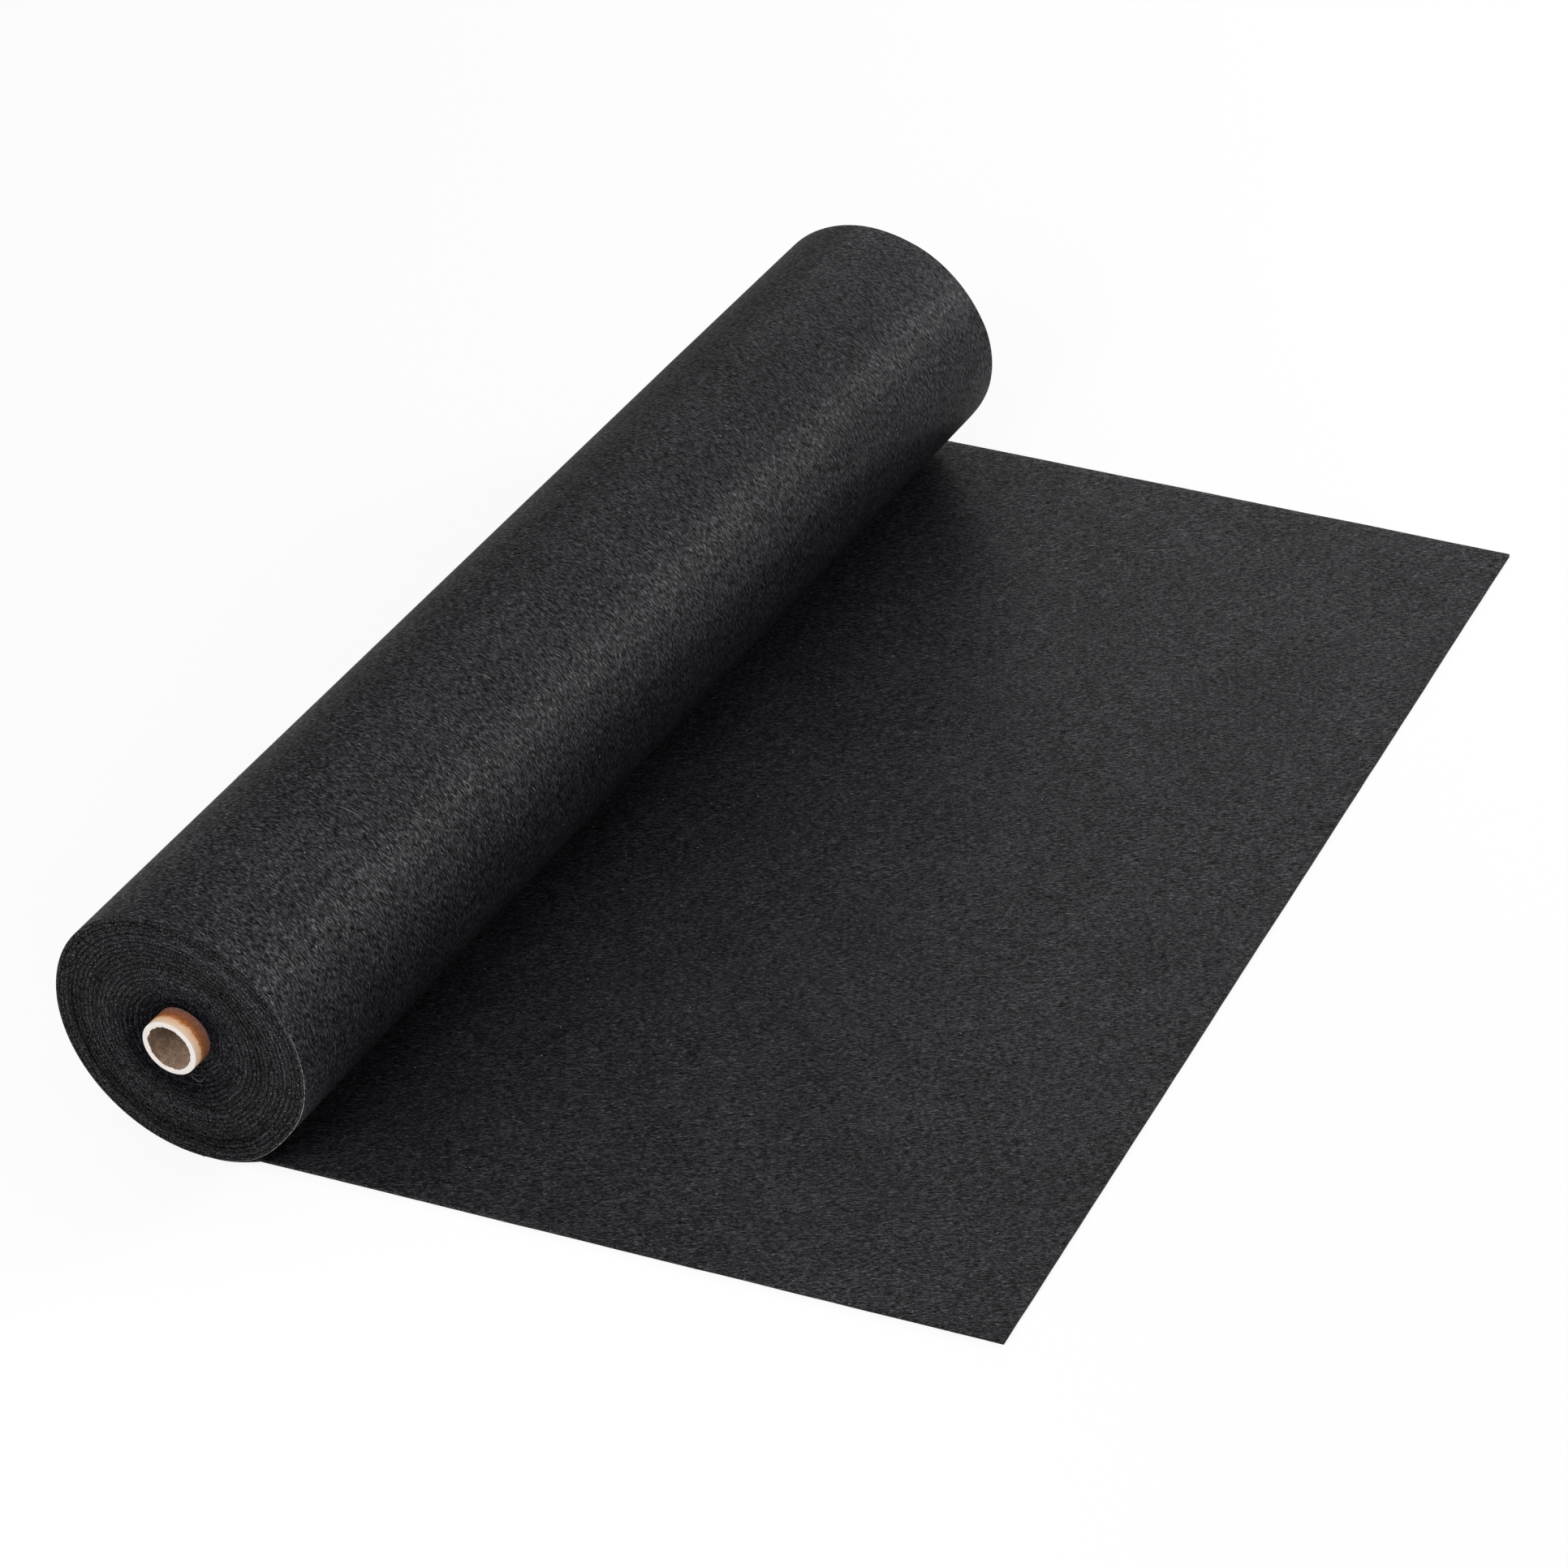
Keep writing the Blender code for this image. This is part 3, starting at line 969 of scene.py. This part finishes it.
fluffSet = {
    "density": 60.0,  # pale hairs on a square metre
    "length": 0.0030,
    "radius": 0.00006,
    "bow": ((-0.5, 0, 0.02), (0.0, 0.32, 0.05), (0.5, 0, 0.02)),  # of a hair that is 1 long
    "bowPoints": 5,
    "sizes": (0.45, 1.5),
    "lean": (0.1, 0.1, 2 * math.pi),
    "seed": 11,
    "patch": 0.03,  # hairs this far apart differ in colour
    "dark": (0.09, 0.09, 0.092),
    "light": (0.32, 0.32, 0.31),
    "stops": (0.42, 0.62),
    "roughness": 0.5,
    "relief": (0.0002, 0.2),
    "outerSkin": 0.0034,  # they grow on the roll's outermost layer, where it faces outwards
    "outFacing": 0.7,
    "aboveFloor": 0.012,
    "upFacing": 0.9,  # and on top of the laid cloth, away from the roll
    "besideRoll": 0.06,
}


def hairMaterial(look):
    made, tree, shader = lookTree("paleFibre")
    fleck = grain(tree, objectPlace(tree), look["patch"], rough=0.6)
    colour = twoTone(tree, fleck, look["stops"], look["dark"], look["light"])
    feed(tree, shader, Roughness=look["roughness"], **{"Base Color": colour})
    roughen(tree, shader, fleck, *look["relief"])
    return made


def randomFrom(tree, kind, socketType, low, high):  # a random value for each hair
    node = addNode(tree, "FunctionNodeRandomValue", data_type=kind)
    lowest, highest = [s for s in node.inputs if s.type == socketType][:2]
    lowest.default_value, highest.default_value = low, high
    return node, [s for s in node.outputs if s.type == socketType][0]


def hairTree(settings):
    kinds = {"Density": "Float", "Length": "Float", "Radius": "Float", "Seed": "Int", "Hair": "Material"}
    tree, given = newTree("looseFibres", kinds)
    scatter = addNode(tree, "GeometryNodeDistributePointsOnFaces")
    for source, target in (("Geometry", "Mesh"), ("Density", "Density"), ("Seed", "Seed")):
        wire(tree, given[source], scatter.inputs[target])
    bow = addNode(tree, "GeometryNodeCurveQuadraticBezier", Resolution=settings["bowPoints"])
    feed(tree, bow, **dict(zip(("Start", "Middle", "End"), settings["bow"])))
    spread = joined(tree, **{axis: given["Length"] for axis in "XYZ"})
    sized = passOn(tree, "GeometryNodeTransform", bow.outputs["Curve"], {"Scale": spread})
    ring = addNode(tree, "GeometryNodeCurvePrimitiveCircle", Resolution=3)
    wire(tree, given["Radius"], ring.inputs["Radius"])
    outline = {"Profile Curve": ring.outputs["Curve"]}
    hair = passOn(tree, "GeometryNodeCurveToMesh", sized, outline, **{"Fill Caps": True})
    sizeNode, size = randomFrom(tree, "FLOAT", "VALUE", *settings["sizes"])
    wire(tree, given["Seed"], sizeNode.inputs["Seed"])
    turn = randomFrom(tree, "FLOAT_VECTOR", "VECTOR", (0, 0, 0), settings["lean"])[1]
    links = {"Instance": hair, "Rotation": scatter.outputs["Rotation"], "Scale": size}
    spots = passOn(tree, "GeometryNodeInstanceOnPoints", scatter.outputs["Points"], links)
    endTree(tree, passOn(tree, "GeometryNodeRotateInstances", spots, {"Rotation": turn}), given["Hair"])
    return tree


def patch(name, piece, wanted):  # a copy of the faces that carry loose fibres
    shape = bmesh.new()
    shape.from_mesh(piece.data)
    drop = [face for face in shape.faces if not wanted(face.calc_center_median(), face.normal)]
    bmesh.ops.delete(shape, geom=drop, context="FACES")
    return meshFrom(name, shape)


def onOuterTurn(centre, normal):
    out = Vector((centre.x - axisX, 0, centre.z - axisZ))
    isOutside = out.length > rollRadius - fluffSet["outerSkin"] and centre.z > fluffSet["aboveFloor"]
    return isOutside and normal.dot(out.normalized()) > fluffSet["outFacing"]


def onTop(centre, normal):
    return normal.z > fluffSet["upFacing"] and centre.x > axisX + fluffSet["besideRoll"]


fibreTree = hairTree(fluffSet)
paleHair = hairMaterial(fluffSet)
fibrePieces = {}
growing = (("rollFibres", rollPiece, onOuterTurn), ("floorFibres", floorPiece, onTop))
for number, (name, piece, wanted) in enumerate(growing):
    values = {"Density": fluffSet["density"], "Length": fluffSet["length"], "Radius": fluffSet["radius"]}
    values.update({"Seed": fluffSet["seed"] + number, "Hair": paleHair})
    fibrePieces[name] = growMesh(name, fibreTree, values, patch(name, piece, wanted))
    print(name, len(fibrePieces[name].data.polygons), "faces")

straySet = {
    "radius": 0.00016,
    "rest": 1.5,  # they lie this many radii above the cloth
    "from": (0.2, 0.7),  # where they are dropped from: beside the roll, and before its near end
    "onSide": (  # degrees from the bottom, and the place along the axis
        ((156.4, -0.3321), (152.0, -0.3307), (147.8, -0.3301), (145.4, -0.3313)),
        ((155.6, -0.1613), (153.5, -0.1549), (149.6, -0.1533)),
        ((135.3, -0.3063), (132.1, -0.3037)),
    ),
    "onEnd": (  # degrees from the bottom, and the distance from the axis
        ((358.4, 0.0332), (364.0, 0.0357), (370.3, 0.0373), (376.3, 0.0355), (379.6, 0.0339)),
    ),
}


def strayFibres(settings):  # the few long pale fibres that lie loose on the roll
    roll = rollPiece.data
    skin = BVHTree.FromPolygons([v.co for v in roll.vertices], [p.vertices for p in roll.polygons])
    curve = bpy.data.curves.new("strayFibres", "CURVE")
    curve.dimensions = "3D"
    curve.bevel_depth = settings["radius"]
    curve.bevel_resolution = 1
    curve.resolution_u = 6
    curve.use_fill_caps = True
    axis = Vector((axisX, 0, axisZ))
    beside, before = settings["from"]
    for where in ("onSide", "onEnd"):
        for path in settings[where]:
            line = curve.splines.new("BEZIER")
            line.bezier_points.add(len(path) - 1)
            for point, (degrees, reach) in zip(line.bezier_points, path):
                out = Vector((math.sin(math.radians(degrees)), 0, -math.cos(math.radians(degrees))))
                if where == "onSide":
                    start, along = axis + out * beside + Vector((0, reach, 0)), -out
                else:
                    start, along = axis + out * reach + Vector((0, -before, 0)), Vector((0, 1, 0))
                point.co = skin.ray_cast(start, along)[0] - along * settings["radius"] * settings["rest"]
                point.handle_left_type = point.handle_right_type = "AUTO"
    drawn = addObject("strayCurves", curve)
    mesh = plainMesh(drawn)
    bpy.data.objects.remove(drawn)
    mesh.materials.clear()
    mesh.materials.append(paleHair)
    outward(mesh)
    print("stray fibres:", len(mesh.vertices), "points")
    return addObject("strayFibres", mesh)


strayPiece = strayFibres(straySet)

studio = {
    "world": 0.54,
    "floorHalf": 9,
    "floorDrop": 0.0004,
    "floorColour": 0.93,
    "floorGlow": 0.86,  # share of the floor's white that the camera sees whatever the light
    "lampSize": 0.4,  # of its distance
    "lamps": (  # degrees from +X towards +Y, degrees up, distance and power
        ("right", 46, 25, 2.5, 29),
        ("behind", 90, 15, 3.5, 15),
        ("behindLeft", 110, 15, 3.5, 14),
        ("front", 270, 40, 3.5, 29),
    ),
    "kicker": ((0.03, -1.15, 0.66), 0.35, 2.5),  # a small lamp near the core: place, size and power
    "kickerAim": -0.5,  # the place on the axis that it shines at
}


def addLamp(name, place, target, size, power):
    light = bpy.data.lights.new(name, "AREA")
    light.shape = "DISK"
    light.size = size
    light.energy = power
    lamp = addObject(name, light)
    lamp.location = place
    lamp.rotation_euler = (Vector(place) - Vector(target)).to_track_quat("Z", "Y").to_euler()


def studioRoom(settings):
    world = bpy.data.worlds.new("studio")
    bpy.context.scene.world = world
    tree = emptyTree(world)
    output = addNode(tree, "ShaderNodeOutputWorld")
    room = addNode(tree, "ShaderNodeBackground", Color=(1, 1, 1, 1))
    isSeen = addNode(tree, "ShaderNodeLightPath").outputs["Is Camera Ray"]
    wire(tree, timesPlus(tree, isSeen, 1 - settings["world"], settings["world"]), room.inputs["Strength"])
    wire(tree, room.outputs[0], output.inputs["Surface"])


def studioFloor(settings):
    half = settings["floorHalf"]
    corners = [(-half, -half, 0), (half, -half, 0), (half, half, 0), (-half, half, 0)]
    mesh = bpy.data.meshes.new("studioFloor")
    mesh.from_pydata(corners, [], [(0, 1, 2, 3)])
    floor = addObject("studioFloor", mesh)
    floor.location.z = -settings["floorDrop"]
    made = bpy.data.materials.new("paleFloor")
    tree = emptyTree(made)
    output = addNode(tree, "ShaderNodeOutputMaterial")
    matte = addNode(tree, "ShaderNodeBsdfDiffuse", Color=(settings["floorColour"],) * 3 + (1,))
    glow = addNode(tree, "ShaderNodeEmission", Strength=1.0)
    mix = addNode(tree, "ShaderNodeMixShader")
    isSeen = addNode(tree, "ShaderNodeLightPath").outputs["Is Camera Ray"]
    wire(tree, times(tree, isSeen, settings["floorGlow"]), mix.inputs["Fac"])
    wire(tree, matte.outputs[0], mix.inputs[1])
    wire(tree, glow.outputs[0], mix.inputs[2])
    wire(tree, mix.outputs[0], output.inputs["Surface"])
    mesh.materials.append(made)


def studioLamps(settings):
    for name, turn, rise, away, power in settings["lamps"]:
        turn, rise = math.radians(turn), math.radians(rise)
        towards = Vector((math.cos(turn) * math.cos(rise), math.sin(turn) * math.cos(rise), math.sin(rise)))
        addLamp(name, towards * away, (0, 0, 0), settings["lampSize"] * away, power)
    place, size, power = settings["kicker"]
    addLamp("kicker", place, (axisX, settings["kickerAim"], axisZ), size, power)


studioRoom(studio)
studioFloor(studio)
studioLamps(studio)
print("studio lit")

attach(rollPiece, "roll")
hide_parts("wound_cloth")

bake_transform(floorPiece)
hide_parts("laid_sheet", "run_off_web")

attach(corePiece, "roll")
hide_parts("core_tube")

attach(fibrePieces["rollFibres"], "roll")
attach(strayPiece, "roll")
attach(fibrePieces["floorFibres"], "sheet")

bpy.context.scene.view_settings.view_transform = "Standard"
